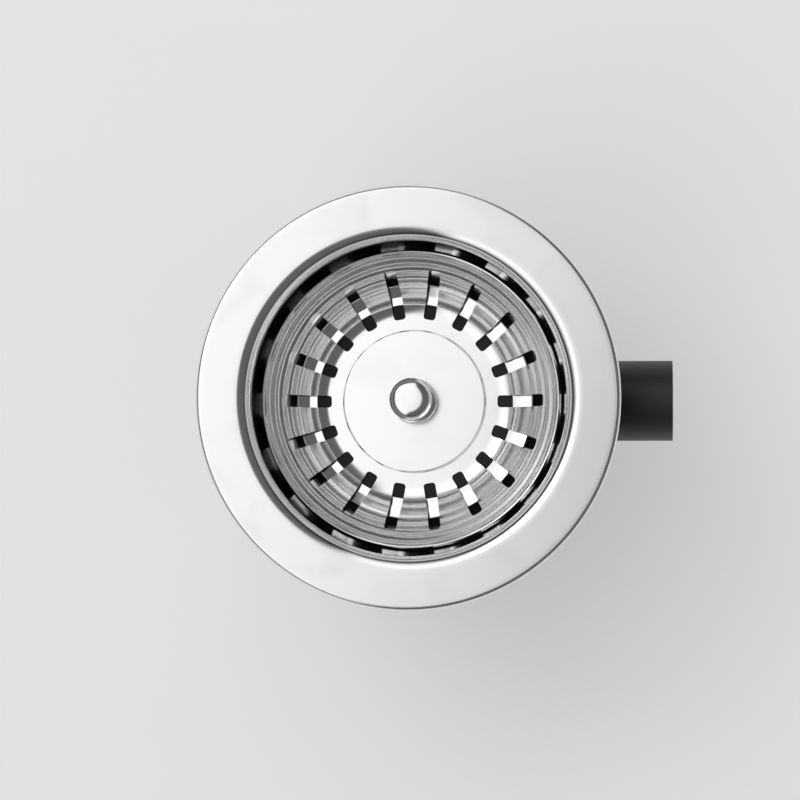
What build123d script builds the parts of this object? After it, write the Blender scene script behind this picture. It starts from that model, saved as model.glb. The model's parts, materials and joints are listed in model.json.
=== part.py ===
from build123d import *
import os
from math import cos, radians, sin, sqrt, tan

# Pop-up basket strainer waste for a 90 mm sink outlet.
# Millimetres, +Z up. The origin is the centre of the outlet hole on the sink's upper face.
# The flange gasket lies on that plane, and everything else hangs below it.

# Sink that the waste is clamped to
sink_hole_d = 90.0
sink_thickness = 10.0
sink_hole_gap = 1.4

# Clearances
rest_gap = 0.3
fit_gap = 0.05
running_gap = 0.08
stem_gap = 0.4

# Strainer bowl, pressed from stainless sheet
flange_d = 114.0
bowl_sheet = 1.0
flange_edge_gap = 0.3
flange_edge_r = 1.2
mouth_bend_r = 3.7
bowl_taper = 1.6
bowl_wall_depth = 27.5
cone_head_bend_r = 3.0
cone_foot_r = 32.5
cone_foot_bend_r = 1.5
bowl_floor_fall = 0.7
seat_depth = 37.7
seat_r = 29.4
seat_bend_r = 2.0
well_r = 21.8
well_taper = 1.0
well_depth = 8.3
well_lip_r = 1.6
well_corner_r = 1.6
drain_hole_d = 8.6
drain_hole_count = 6

# Gaskets
flange_gasket_t = 1.5
flange_gasket_inset = 2.5
clamp_gasket_t = 3.0

# Strainer basket, pressed from stainless sheet
basket_rim_d = 80.6
basket_sheet = 0.6
basket_depth = 20.0
basket_floor_d = 55.2
basket_corner_r = 7.0
basket_plain_wall = 3.6
wall_ring_count = 4
wall_ring_tilt = 8.0
wall_ring_bend_r = 4.0
basket_lip_h = 1.7
basket_lip_flare = 0.35
basket_lip_bend_r = 1.0
basket_rim_round = 0.22
slot_count = 18
slot_width = 3.3
slot_run = 12.9
slot_land = 3.1
slot_corner_r = 0.9

# Centre plate, pull knob and seal
plate_d = 39.6
plate_t = 0.8
plate_edge_r = 0.6
knob_h = 21.0
knob_head_d = 11.8
knob_head_h = 4.2
knob_shoulder_r = 2.6
knob_dome = 0.15
knob_neck_d = 7.4
knob_flare_h = 3.0
knob_base_d = 12.6
knob_base_h = 1.4
knob_edge_r = 0.5
knob_neck_bend_r = 2.0
stud_d = 5.0
stud_grip = 9.0
seal_d = 54.0
seal_t = 2.4
seal_edge_r = 0.7
seal_plate_d = 38.0
seal_plate_t = 1.0

# Lift stem with its adjusting screw
stem_d = 8.4
stem_collar_d = 15.0
stem_collar_h = 3.0
lift_pin_d = 4.0
lift_pin_grip = 8.0
lift_pin_reach = 2.0
foot_d = 5.0
foot_h = 2.4
lift_pin_nut_width = 7.0
lift_pin_nut_h = 2.6

# Hollow clamp screw and the brass insert that takes it
screw_d = 14.0
screw_head_d = 20.0
screw_head_h = 2.6
screw_slot_width = 2.0
screw_slot_depth = 1.4
screw_run_out = 1.5
insert_d = 18.0
insert_h = 13.0
insert_cover = 1.5
insert_flute_d = 1.2
insert_flute_count = 16

# Moulded waste body
chamber_gap = 1.2
chamber_draft = 0.8
body_wall = 2.8
rim_width = 8.7
rim_h = 5.0
rim_lip_t = 1.2
rim_lip_h = 1.5
gasket_side_gap = 0.2
gusset_count = 12
gusset_t = 2.2
gusset_h = 12.0
gusset_set_back = 1.5
funnel_drop = 4.0
funnel_fall = 15.5
funnel_bend_r = 6.0
throat_bend_r = 5.0
throat_d = 41.0
boss_wall = 1.6
boss_rib_count = 3
boss_rib_t = 3.0
boss_rib_drop = 3.0
boss_tail = 1.5
outlet_d = 47.8
outlet_bore_d = 40.0
outlet_thread_h = 20.0
outlet_chamfer = 0.8

# Overflow spigot
overflow_d = 22.0
overflow_wall = 2.4
overflow_length = 22.0
overflow_collar_d = 27.0
overflow_collar_t = 3.0
overflow_drop = 17.0

# Spindle, lift finger and crank
spindle_d = 6.0
spindle_offset = 15.0
spindle_drop = 11.5
swing_half_angle = 18.5
finger_hub_d = 9.0
finger_width = 7.0
finger_nose_d = 6.0
finger_tip_d = 4.4
finger_tip_drop = 3.0
finger_pin_d = 1.6
bearing_depth = 6.0
bearing_wall = 3.0
bearing_end = 2.5
spindle_boss_d = 16.0
collar_d = 23.0
collar_t = 3.0
outlet_nut_room = 9.0
seal_section_d = 2.1
seal_pitch = 2.5
bush_length = 6.0
crank_length = 16.0
crank_t = 3.5
crank_hub_d = 11.0
crank_end_d = 7.2
crank_flat = 0.8
crank_gap = 1.0
cable_eye_d = 3.0
cable_slit = 1.2
crank_screw_d = 3.0
crank_screw_grip = 7.0
crank_screw_head_d = 6.4
crank_screw_head_h = 1.8

# Actuator housing with cover
housing_wall = 2.2
housing_half_width = 15.0
housing_head = 12.6
housing_foot = 9.8
housing_corner_r = 4.0
housing_nut_width = 20.0
housing_nut_h = 3.5
nut_boss_proud = 0.8
cover_room = 1.2
cover_t = 2.0
cover_edge_r = 0.8
cover_screw_d = 2.5
cover_screw_grip = 8.0
cover_screw_head_d = 4.8
cover_screw_head_h = 1.6
cover_post_d = 5.6
cover_post_bite = 0.8

# Cable gland
gland_d = 6.0
gland_bore_d = 4.0
gland_hex_width = 8.0
gland_hex_h = 3.0
gland_reach = 11.0
gland_nut_h = 2.5

# Heights of the steel bowl
flange_r = flange_d / 2
flange_top_z = flange_gasket_t + bowl_sheet
wall_top_r = sink_hole_d / 2 - sink_hole_gap - bowl_sheet
cone_head_r = wall_top_r - bowl_taper
cone_head_z = flange_top_z - bowl_wall_depth
seat_z = flange_top_z - seat_depth
cone_foot_z = seat_z + bowl_floor_fall
well_floor_r = well_r - well_taper
well_floor_z = seat_z - well_depth
well_under_z = well_floor_z - bowl_sheet
drain_pitch_r = (screw_head_d / 2 + well_floor_r) / 2

# Heights of the basket, seated in the bowl
basket_under_z = seat_z + rest_gap + seal_t
basket_floor_z = basket_under_z + basket_sheet
basket_rim_z = basket_floor_z + basket_depth
plate_top_z = basket_floor_z + plate_t
slot_inner_r = plate_d / 2 + slot_land
seal_under_z = basket_under_z - seal_t
stem_top_z = seal_under_z - seal_plate_t

# Heights of the waste body
rim_top_z = -sink_thickness - clamp_gasket_t
chamber_r = sink_hole_d / 2 + chamber_gap
rim_r = chamber_r + rim_width
funnel_top_z = seat_z - funnel_drop
throat_r = throat_d / 2
throat_top_z = well_under_z - funnel_fall
boss_r = insert_d / 2 + boss_wall
boss_under_z = throat_top_z - boss_tail
insert_top_z = well_under_z - insert_cover
insert_under_z = insert_top_z - insert_h
screw_bore_r = stem_d / 2 + stem_gap
spindle_z = boss_under_z - spindle_drop
thread_top_z = spindle_z - spindle_boss_d / 2 - body_wall
outlet_z = thread_top_z - outlet_thread_h
overflow_z = rim_top_z - overflow_drop
overflow_end = chamber_r + body_wall + overflow_length

# Finger swing: the nose rises through the stem's axis by equal angles below and above level
spindle_x = -spindle_offset
finger_length = spindle_offset / cos(radians(swing_half_angle))
nose_z = spindle_z - finger_length * sin(radians(swing_half_angle))
foot_under_z = nose_z + finger_nose_d / 2 + rest_gap
lift_pin_nut_z = foot_under_z + foot_h + lift_pin_reach
stem_end_z = lift_pin_nut_z + lift_pin_nut_h

# Places along the spindle
throat_chord = sqrt(throat_r**2 - spindle_x**2)
spindle_start_y = -(throat_chord + bearing_depth)
collar_y = outlet_d / 2 + outlet_nut_room
housing_nut_y = collar_y + housing_wall
boss_end_y = housing_nut_y + housing_nut_h + nut_boss_proud
bush_start_y = boss_end_y - bush_length
seal_pocket_r = spindle_d / 2 + seal_section_d + running_gap
seal_pocket_y = bush_start_y - 2 * seal_pitch
crank_y = boss_end_y + crank_gap
crank_end_y = crank_y + crank_t
cover_y = crank_end_y + crank_screw_head_h + cover_room
cover_face_y = cover_y + cover_t
cable_y = crank_y + crank_t / 2

# Crank at rest leans back by the half swing, so that it stands upright at half lift
crank_x = spindle_x - crank_length * sin(radians(swing_half_angle))
crank_z = spindle_z - crank_length * cos(radians(swing_half_angle))
cable_z = spindle_z - crank_length * (1 + cos(radians(swing_half_angle))) / 2

# Outline of the actuator housing
housing_top_z = spindle_z + housing_head + housing_wall
housing_foot_z = spindle_z - crank_length - housing_foot - housing_wall
housing_mid_z = (housing_top_z + housing_foot_z) / 2
housing_height = housing_top_z - housing_foot_z
housing_width = 2 * (housing_half_width + housing_wall)
post_inset = housing_wall + cover_post_d / 2 - cover_post_bite
post_spacing_x = housing_width - 2 * post_inset
post_spacing_z = housing_height - 2 * post_inset
gland_face_x = spindle_x + housing_width / 2
gland_inner_x = gland_face_x - housing_wall


def facing_back(y):
    """Plane across the spindle at y, drawn in x and z, whose extrusions run towards +Y."""
    return Plane(origin=(0, y, 0), x_dir=(-1, 0, 0), z_dir=(0, 1, 0))


def back_point(x, z):
    """Place of (x, z) in the axes of a plane made by facing_back."""
    return (-x, z)


def facing_right(x, y, z):
    """Plane square to X at a point, whose extrusions run towards +X."""
    return Plane(origin=(x, y, z), x_dir=(0, 1, 0), z_dir=(1, 0, 0))


def upright(angle):
    """Plane through the Z axis at an angle in degrees, drawn in radius and height."""
    turn = radians(angle)
    return Plane(origin=(0, 0, 0), x_dir=(cos(turn), sin(turn), 0), z_dir=(sin(turn), -cos(turn), 0))


spindle_point = back_point(spindle_x, spindle_z)

# Strainer bowl: flange, upright wall, cone, sloping floor, seal seat and drain well in one pressed sheet
with BuildPart() as strainer_bowl:
    with BuildSketch(Plane.XZ):
        with BuildLine():
            FilletPolyline(
                (flange_r, flange_edge_gap),
                (flange_r, flange_top_z),
                (wall_top_r, flange_top_z),
                (cone_head_r, cone_head_z),
                (cone_foot_r, cone_foot_z),
                (seat_r, seat_z),
                (well_r, seat_z),
                (well_floor_r, well_floor_z),
                (screw_d / 2 + fit_gap, well_floor_z),
                radius=(
                    flange_edge_r,
                    mouth_bend_r,
                    cone_head_bend_r,
                    cone_foot_bend_r,
                    seat_bend_r,
                    well_lip_r,
                    well_corner_r,
                ),
            )
            offset(amount=bowl_sheet, side=Side.LEFT)
        make_face()
    revolve(axis=Axis.Z)
    with BuildSketch(Plane.XY.offset(well_floor_z)):
        with PolarLocations(drain_pitch_r, drain_hole_count):
            Circle(drain_hole_d / 2)
    extrude(amount=-bowl_sheet, mode=Mode.SUBTRACT)

# Flange gasket: flat ring between the flange and the sink
with BuildPart() as flange_gasket:
    with BuildSketch(Plane.XY):
        Circle(flange_r - flange_gasket_inset)
        Circle(wall_top_r + mouth_bend_r, mode=Mode.SUBTRACT)
    extrude(amount=flange_gasket_t)

# Clamp gasket: thicker ring between the sink and the rim of the waste body
with BuildPart() as clamp_gasket:
    with BuildSketch(Plane.XY.offset(rim_top_z)):
        Circle(rim_r - rim_lip_t - gasket_side_gap)
        Circle(chamber_r + gasket_side_gap, mode=Mode.SUBTRACT)
    extrude(amount=clamp_gasket_t)

# Strainer basket: dished sheet with pressed rings in its wall and a short upright lip, slotted from
# the floor up the wall. The rings swing the wall's slope to both sides of its mean by the ring tilt.
lip_foot_r = basket_rim_d / 2 - basket_sheet - basket_lip_flare
wall_foot = Vector(basket_floor_d / 2, basket_floor_z)
wall_head = Vector(lip_foot_r, basket_rim_z - basket_lip_h)
wall_way = (wall_head - wall_foot).normalized()
rings_start = wall_foot + wall_way * (basket_plain_wall / wall_way.X)
ring_pitch = (wall_head - rings_start).length / wall_ring_count
ring_hollow = Vector(wall_way.Y, -wall_way.X) * (ring_pitch / 2 * tan(radians(wall_ring_tilt)))
ring_points = []
for place in range(wall_ring_count):
    ring_points.append(rings_start + wall_way * (place + 0.5) * ring_pitch + ring_hollow)
    ring_points.append(rings_start + wall_way * (place + 1) * ring_pitch)
ring_bends = [wall_ring_bend_r] * (2 * wall_ring_count)
with BuildPart() as strainer_basket:
    with BuildSketch(Plane.XZ):
        with BuildLine():
            FilletPolyline(
                (stud_d / 2 + fit_gap, basket_floor_z),
                wall_foot,
                rings_start,
                *ring_points,
                (lip_foot_r + basket_lip_flare, basket_rim_z),
                radius=(basket_corner_r, *ring_bends, basket_lip_bend_r),
            )
            offset(amount=basket_sheet, side=Side.RIGHT)
        make_face()
    revolve(axis=Axis.Z)
    rim_edges = strainer_basket.edges().filter_by(lambda edge: edge.is_closed).sort_by(Axis.Z)[-2:]
    fillet(rim_edges, radius=basket_rim_round)
    with BuildSketch(Plane.XY.offset(basket_rim_z)):
        with PolarLocations(slot_inner_r + slot_run / 2, slot_count):
            RectangleRounded(slot_run, slot_width, slot_corner_r)
    extrude(amount=-(basket_depth + basket_sheet), mode=Mode.SUBTRACT)

# Centre plate: disc on the basket floor, with a rounded upper edge
with BuildPart() as centre_plate:
    with BuildSketch(Plane.XY.offset(basket_floor_z)):
        Circle(plate_d / 2)
        Circle(stud_d / 2 + fit_gap, mode=Mode.SUBTRACT)
    extrude(amount=plate_t)
    fillet(centre_plate.edges().group_by(Axis.Z)[-1].sort_by(SortBy.LENGTH)[-1], radius=plate_edge_r)

# Pull knob: turned base, slim neck and domed head, with the stud that clamps the basket stack
knob_top_z = plate_top_z + knob_h
knob_edge_z = knob_top_z - knob_dome
knob_head_z = knob_edge_z - knob_head_h
stud_end_z = stem_top_z - stud_grip
dome_radius = ((knob_head_d / 2) ** 2 + knob_dome**2) / (2 * knob_dome)
with BuildPart() as pull_knob:
    with BuildSketch(Plane.XZ):
        with BuildLine():
            FilletPolyline(
                (0, stud_end_z),
                (stud_d / 2, stud_end_z),
                (stud_d / 2, plate_top_z),
                (knob_base_d / 2, plate_top_z),
                (knob_base_d / 2, plate_top_z + knob_base_h),
                (knob_neck_d / 2, plate_top_z + knob_base_h),
                (knob_neck_d / 2, knob_head_z - knob_flare_h),
                (knob_head_d / 2, knob_head_z),
                (knob_head_d / 2, knob_edge_z),
                radius=(0, 0, 0, knob_edge_r, knob_neck_bend_r, knob_neck_bend_r, knob_edge_r),
            )
            RadiusArc((knob_head_d / 2, knob_edge_z), (0, knob_top_z), -dome_radius)
            Line((0, knob_top_z), (0, stud_end_z))
        make_face()
    revolve(axis=Axis.Z)
    shoulder = pull_knob.edges().filter_by(lambda edge: edge.is_closed).sort_by(Axis.Z)[-1]
    fillet(shoulder, radius=knob_shoulder_r)

# Basket seal: rubber disc that closes on the seat
with BuildPart() as basket_seal:
    with BuildSketch(Plane.XY.offset(seal_under_z)):
        Circle(seal_d / 2)
        Circle(stud_d / 2 + fit_gap, mode=Mode.SUBTRACT)
    extrude(amount=seal_t)
    fillet(basket_seal.edges().group_by(Axis.Z)[0].sort_by(SortBy.LENGTH)[-1], radius=seal_edge_r)

# Seal plate: steel disc that spreads the clamping force over the seal
with BuildPart() as seal_plate:
    with BuildSketch(Plane.XY.offset(stem_top_z)):
        Circle(seal_plate_d / 2)
        Circle(stud_d / 2 + fit_gap, mode=Mode.SUBTRACT)
    extrude(amount=seal_plate_t)

# Lift stem: turned rod with a collar, tapped at both ends
with BuildPart() as lift_stem:
    with BuildSketch(Plane.XY.offset(stem_top_z)):
        Circle(stem_collar_d / 2)
    extrude(amount=-stem_collar_h)
    with BuildSketch(Plane.XY.offset(stem_end_z)):
        Circle(stem_d / 2)
    extrude(amount=stem_top_z - stem_end_z)
    with BuildSketch(Plane.XY.offset(stem_top_z)):
        Circle(stud_d / 2 + fit_gap)
    extrude(amount=-(stud_grip + rest_gap), mode=Mode.SUBTRACT)
    with BuildSketch(Plane.XY.offset(stem_end_z)):
        Circle(lift_pin_d / 2 + fit_gap)
    extrude(amount=lift_pin_grip + rest_gap, mode=Mode.SUBTRACT)

# Lift pin: adjusting screw whose foot rests on the finger
with BuildPart() as lift_pin:
    with BuildSketch(Plane.XY.offset(foot_under_z)):
        Circle(foot_d / 2)
    extrude(amount=foot_h)
    with BuildSketch(Plane.XY.offset(foot_under_z + foot_h)):
        Circle(lift_pin_d / 2)
    extrude(amount=lift_pin_reach + lift_pin_nut_h + lift_pin_grip)

# Lock nut of the lift pin, drawn up against the stem
with BuildPart() as lift_pin_nut:
    with BuildSketch(Plane.XY.offset(lift_pin_nut_z)):
        RegularPolygon(lift_pin_nut_width / 2, side_count=6, major_radius=False)
        Circle(lift_pin_d / 2 + fit_gap, mode=Mode.SUBTRACT)
    extrude(amount=lift_pin_nut_h)

# Hollow clamp screw: slotted head in the drain well, bored for the stem
with BuildPart() as clamp_screw:
    with BuildSketch(Plane.XY.offset(well_floor_z)):
        Circle(screw_head_d / 2)
    extrude(amount=screw_head_h)
    fillet(clamp_screw.edges().group_by(Axis.Z)[-1], radius=screw_slot_depth / 2)
    with BuildSketch(Plane.XY.offset(well_floor_z)):
        Circle(screw_d / 2)
    extrude(amount=insert_under_z - screw_run_out - well_floor_z)
    with BuildSketch(Plane.XY.offset(well_floor_z + screw_head_h)):
        Rectangle(screw_head_d, screw_slot_width)
    extrude(amount=-screw_slot_depth, mode=Mode.SUBTRACT)
    with Locations((0, 0, well_floor_z + screw_head_h)):
        Hole(screw_bore_r)

# Brass insert: fluted bush moulded into the boss
with BuildPart() as boss_insert:
    with BuildSketch(Plane.XY.offset(insert_under_z)):
        Circle(insert_d / 2)
        Circle(screw_d / 2 + fit_gap, mode=Mode.SUBTRACT)
        with PolarLocations(insert_d / 2, insert_flute_count):
            Circle(insert_flute_d / 2, mode=Mode.SUBTRACT)
    extrude(amount=insert_h)

# Waste body: rim, chamber, funnel, throat and threaded outlet in one moulding
funnel_slope = (chamber_r - chamber_draft - throat_r) / (funnel_top_z - throat_top_z)
rim_under_z = rim_top_z - rim_h
boss_rib_top_z = well_under_z - boss_rib_drop


def wall_centre_r(z):
    """Radius of the middle of the funnel wall at height z."""
    return throat_r + (z - throat_top_z) * funnel_slope + body_wall / 2


with BuildPart() as waste_body:
    # Outer form, solid at first
    with BuildSketch(Plane.XZ):
        with BuildLine():
            FilletPolyline(
                (0, rim_top_z + rim_lip_h),
                (rim_r, rim_top_z + rim_lip_h),
                (rim_r, rim_under_z),
                (chamber_r + body_wall, rim_under_z),
                (chamber_r - chamber_draft + body_wall, funnel_top_z - body_wall / 2),
                (throat_r + body_wall, throat_top_z - body_wall / 2),
                (throat_r + body_wall, thread_top_z),
                (outlet_d / 2, thread_top_z),
                (outlet_d / 2, outlet_z + outlet_chamfer),
                (outlet_d / 2 - outlet_chamfer, outlet_z),
                (0, outlet_z),
                close=True,
                radius=(0, 0, 0, 0, funnel_bend_r + body_wall, throat_bend_r, 0, 0, 0, 0, 0),
            )
        make_face()
    revolve(axis=Axis.Z)
    # Gussets under the rim
    for place in range(gusset_count):
        with BuildSketch(upright((place + 0.5) * 360 / gusset_count)):
            with BuildLine():
                Polyline(
                    (chamber_r + body_wall / 2, rim_under_z),
                    (rim_r - gusset_set_back, rim_under_z),
                    (chamber_r + body_wall / 2, rim_under_z - gusset_h),
                    close=True,
                )
            make_face()
        extrude(amount=gusset_t / 2, both=True)
    # Overflow spigot with its stop collar
    with BuildSketch(facing_right(0, 0, overflow_z)):
        Circle(overflow_d / 2)
    extrude(amount=overflow_end)
    with BuildSketch(facing_right(0, 0, overflow_z)):
        Circle(overflow_collar_d / 2)
    extrude(amount=chamber_r + body_wall + overflow_collar_t)
    # Spindle boss with its collar, and the blind bearing opposite
    with BuildSketch(facing_back(0)):
        with Locations(spindle_point):
            Circle(spindle_boss_d / 2)
    extrude(amount=boss_end_y)
    with BuildSketch(facing_back(collar_y)):
        with Locations(spindle_point):
            Circle(collar_d / 2)
    extrude(amount=-collar_t)
    with BuildSketch(facing_back(0)):
        with Locations(spindle_point):
            Circle(spindle_d / 2 + bearing_wall)
    extrude(amount=spindle_start_y - bearing_end)
    # Waterway
    with BuildSketch(Plane.XZ):
        with BuildLine():
            FilletPolyline(
                (0, rim_top_z + rim_lip_h),
                (rim_r - rim_lip_t, rim_top_z + rim_lip_h),
                (rim_r - rim_lip_t, rim_top_z),
                (chamber_r, rim_top_z),
                (chamber_r - chamber_draft, funnel_top_z),
                (throat_r, throat_top_z),
                (throat_r, thread_top_z),
                (outlet_bore_d / 2, thread_top_z),
                (outlet_bore_d / 2, outlet_z),
                (0, outlet_z),
                close=True,
                radius=(0, 0, 0, 0, funnel_bend_r, throat_bend_r + body_wall, 0, 0, 0, 0),
            )
        make_face()
    revolve(axis=Axis.Z, mode=Mode.SUBTRACT)
    with BuildSketch(facing_right(0, 0, overflow_z)):
        Circle(overflow_d / 2 - overflow_wall)
    extrude(amount=overflow_end, mode=Mode.SUBTRACT)
    # Bores for the spindle, its seals and its bush
    with BuildSketch(facing_back(spindle_start_y)):
        with Locations(spindle_point):
            Circle(spindle_d / 2 + running_gap)
    extrude(amount=boss_end_y - spindle_start_y, mode=Mode.SUBTRACT)
    with BuildSketch(facing_back(seal_pocket_y)):
        with Locations(spindle_point):
            Circle(seal_pocket_r)
    extrude(amount=boss_end_y - seal_pocket_y, mode=Mode.SUBTRACT)
    # Boss that the clamp screw pulls on, carried by ribs across the funnel
    with BuildSketch(Plane.XY.offset(boss_under_z)):
        Circle(boss_r)
    extrude(amount=well_under_z - boss_under_z)
    for place in range(boss_rib_count):
        with BuildSketch(upright(90 + place * 360 / boss_rib_count)):
            with BuildLine():
                Polyline(
                    (insert_d / 2, boss_rib_top_z),
                    (wall_centre_r(boss_rib_top_z), boss_rib_top_z),
                    (wall_centre_r(throat_top_z), throat_top_z),
                    (wall_centre_r(throat_top_z), boss_under_z),
                    (insert_d / 2, boss_under_z),
                    close=True,
                )
            make_face()
        extrude(amount=boss_rib_t / 2, both=True)
    with BuildSketch(Plane.XY.offset(well_under_z)):
        Circle(insert_d / 2 + fit_gap)
    extrude(amount=insert_under_z - well_under_z, mode=Mode.SUBTRACT)
    with BuildSketch(Plane.XY.offset(boss_under_z)):
        Circle(screw_d / 2 + stem_gap)
    extrude(amount=well_under_z - boss_under_z, mode=Mode.SUBTRACT)

# Spindle: shaft across the throat, with a flat at its outer end for the crank
with BuildPart() as spindle:
    with BuildSketch(facing_back(spindle_start_y + rest_gap)):
        with Locations(spindle_point):
            Circle(spindle_d / 2)
    extrude(amount=crank_end_y - spindle_start_y - rest_gap)
    with BuildSketch(facing_back(crank_y)):
        with Locations(back_point(spindle_x, spindle_z + spindle_d / 2)):
            Rectangle(spindle_d, 2 * crank_flat)
    extrude(amount=crank_t, mode=Mode.SUBTRACT)
    with BuildSketch(facing_back(crank_end_y)):
        with Locations(spindle_point):
            Circle(crank_screw_d / 2 + fit_gap)
    extrude(amount=-(crank_screw_grip + rest_gap), mode=Mode.SUBTRACT)
    with BuildSketch(Plane(origin=(spindle_x, 0, spindle_z))):
        Circle(finger_pin_d / 2 + fit_gap)
    extrude(amount=spindle_d, both=True, mode=Mode.SUBTRACT)

# Lift finger: tapered arm from its hub on the spindle, with a nose that stands up under the stem
with BuildPart() as lift_finger:
    with BuildSketch(Plane.XZ):
        with Locations((spindle_x, spindle_z)):
            Circle(finger_hub_d / 2)
        with Locations((0, nose_z - finger_tip_drop)):
            Circle(finger_tip_d / 2)
        make_hull()
    extrude(amount=finger_width / 2, both=True)
    with BuildSketch(Plane.XZ):
        with Locations((0, nose_z)):
            Circle(finger_nose_d / 2)
        with Locations((0, nose_z - finger_tip_drop)):
            Circle(finger_tip_d / 2)
        make_hull()
    extrude(amount=finger_width / 2, both=True)
    with BuildSketch(Plane.XZ):
        with Locations((spindle_x, spindle_z)):
            Circle(spindle_d / 2 + fit_gap)
    extrude(amount=finger_width, both=True, mode=Mode.SUBTRACT)
    with BuildSketch(Plane(origin=(spindle_x, 0, spindle_z))):
        Circle(finger_pin_d / 2 + fit_gap)
    extrude(amount=finger_hub_d, both=True, mode=Mode.SUBTRACT)

# Cross pin through the hub and the spindle
with BuildPart() as finger_pin:
    with BuildSketch(Plane(origin=(spindle_x, 0, spindle_z))):
        Circle(finger_pin_d / 2)
    extrude(amount=finger_hub_d / 2, both=True)

# Guide bush at the mouth of the spindle boss
with BuildPart() as spindle_bush:
    with BuildSketch(facing_back(bush_start_y)):
        with Locations(spindle_point):
            Circle(seal_pocket_r - fit_gap)
            Circle(spindle_d / 2 + running_gap, mode=Mode.SUBTRACT)
    extrude(amount=bush_length)

# Two seal rings behind the bush
with BuildPart() as spindle_seals:
    for place in range(2):
        with BuildSketch(Plane(origin=(spindle_x, seal_pocket_y + (place + 0.5) * seal_pitch, spindle_z))):
            with Locations((spindle_d / 2 + running_gap / 2 + seal_section_d / 2, 0)):
                Circle(seal_section_d / 2 - running_gap / 4)
        revolve(axis=Axis((spindle_x, 0, spindle_z), (0, 1, 0)))

# Crank arm: tapered arm with a slit eye for the cable's end
with BuildPart() as crank_arm:
    with BuildSketch(facing_back(crank_y)):
        with Locations(spindle_point):
            Circle(crank_hub_d / 2)
        with Locations(back_point(crank_x, crank_z)):
            Circle(crank_end_d / 2)
        make_hull()
        with Locations(back_point(crank_x, crank_z)):
            Circle(cable_eye_d / 2, mode=Mode.SUBTRACT)
            with Locations((-crank_end_d / 2, 0)):
                Rectangle(crank_end_d, cable_slit, mode=Mode.SUBTRACT)
    extrude(amount=crank_t)
    with BuildSketch(facing_back(crank_y)):
        with Locations(spindle_point):
            Circle(spindle_d / 2 + fit_gap)
        with Locations(back_point(spindle_x, spindle_z + spindle_d / 2 + fit_gap)):
            Rectangle(crank_hub_d, 2 * crank_flat, mode=Mode.SUBTRACT)
    extrude(amount=crank_t, mode=Mode.SUBTRACT)

# Screw that holds the crank on the spindle
with BuildPart() as crank_screw:
    with BuildSketch(facing_back(crank_end_y)):
        with Locations(spindle_point):
            Circle(crank_screw_head_d / 2)
    extrude(amount=crank_screw_head_h)
    with BuildSketch(facing_back(crank_end_y)):
        with Locations(spindle_point):
            Circle(crank_screw_d / 2)
    extrude(amount=-crank_screw_grip)

# Actuator housing: open box around the crank, held on the spindle boss
housing_centre = back_point(spindle_x, housing_mid_z)
with BuildPart() as actuator_housing:
    with BuildSketch(facing_back(collar_y)):
        with Locations(housing_centre):
            RectangleRounded(housing_width, housing_height, housing_corner_r)
    extrude(amount=cover_y - collar_y)
    with BuildSketch(facing_back(collar_y + housing_wall)):
        with Locations(housing_centre):
            RectangleRounded(
                housing_width - 2 * housing_wall,
                housing_height - 2 * housing_wall,
                housing_corner_r - housing_wall,
            )
    extrude(amount=cover_y - collar_y - housing_wall, mode=Mode.SUBTRACT)
    with BuildSketch(facing_back(collar_y)):
        with Locations(housing_centre):
            with GridLocations(post_spacing_x, post_spacing_z, 2, 2):
                Circle(cover_post_d / 2)
    extrude(amount=cover_y - collar_y)
    with BuildSketch(facing_back(cover_y)):
        with Locations(housing_centre):
            with GridLocations(post_spacing_x, post_spacing_z, 2, 2):
                Circle(cover_screw_d / 2 + fit_gap)
    extrude(amount=-(cover_screw_grip + rest_gap - cover_t), mode=Mode.SUBTRACT)
    with BuildSketch(facing_back(collar_y)):
        with Locations(spindle_point):
            Circle(spindle_boss_d / 2 + fit_gap)
    extrude(amount=housing_wall, mode=Mode.SUBTRACT)
    with BuildSketch(facing_right(gland_inner_x, cable_y, cable_z)):
        Circle(gland_d / 2 + fit_gap)
    extrude(amount=housing_wall, mode=Mode.SUBTRACT)

# Nut that draws the housing against the collar of the spindle boss
with BuildPart() as housing_nut:
    with BuildSketch(facing_back(housing_nut_y)):
        with Locations(spindle_point):
            RegularPolygon(housing_nut_width / 2, side_count=6, major_radius=False)
            Circle(spindle_boss_d / 2 + fit_gap, mode=Mode.SUBTRACT)
    extrude(amount=housing_nut_h)

# Cover of the housing, with a rounded outer edge
with BuildPart() as actuator_cover:
    with BuildSketch(facing_back(cover_y)):
        with Locations(housing_centre):
            RectangleRounded(housing_width, housing_height, housing_corner_r)
    extrude(amount=cover_t)
    fillet(actuator_cover.edges().group_by(Axis.Y)[-1], radius=cover_edge_r)
    with BuildSketch(facing_back(cover_y)):
        with Locations(housing_centre):
            with GridLocations(post_spacing_x, post_spacing_z, 2, 2):
                Circle(cover_screw_d / 2 + fit_gap)
    extrude(amount=cover_t, mode=Mode.SUBTRACT)

# Four cover screws
with BuildPart() as cover_screws:
    with BuildSketch(facing_back(cover_face_y)):
        with Locations(housing_centre):
            with GridLocations(post_spacing_x, post_spacing_z, 2, 2):
                Circle(cover_screw_head_d / 2)
    extrude(amount=cover_screw_head_h)
    with BuildSketch(facing_back(cover_face_y)):
        with Locations(housing_centre):
            with GridLocations(post_spacing_x, post_spacing_z, 2, 2):
                Circle(cover_screw_d / 2)
    extrude(amount=-cover_screw_grip)

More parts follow.
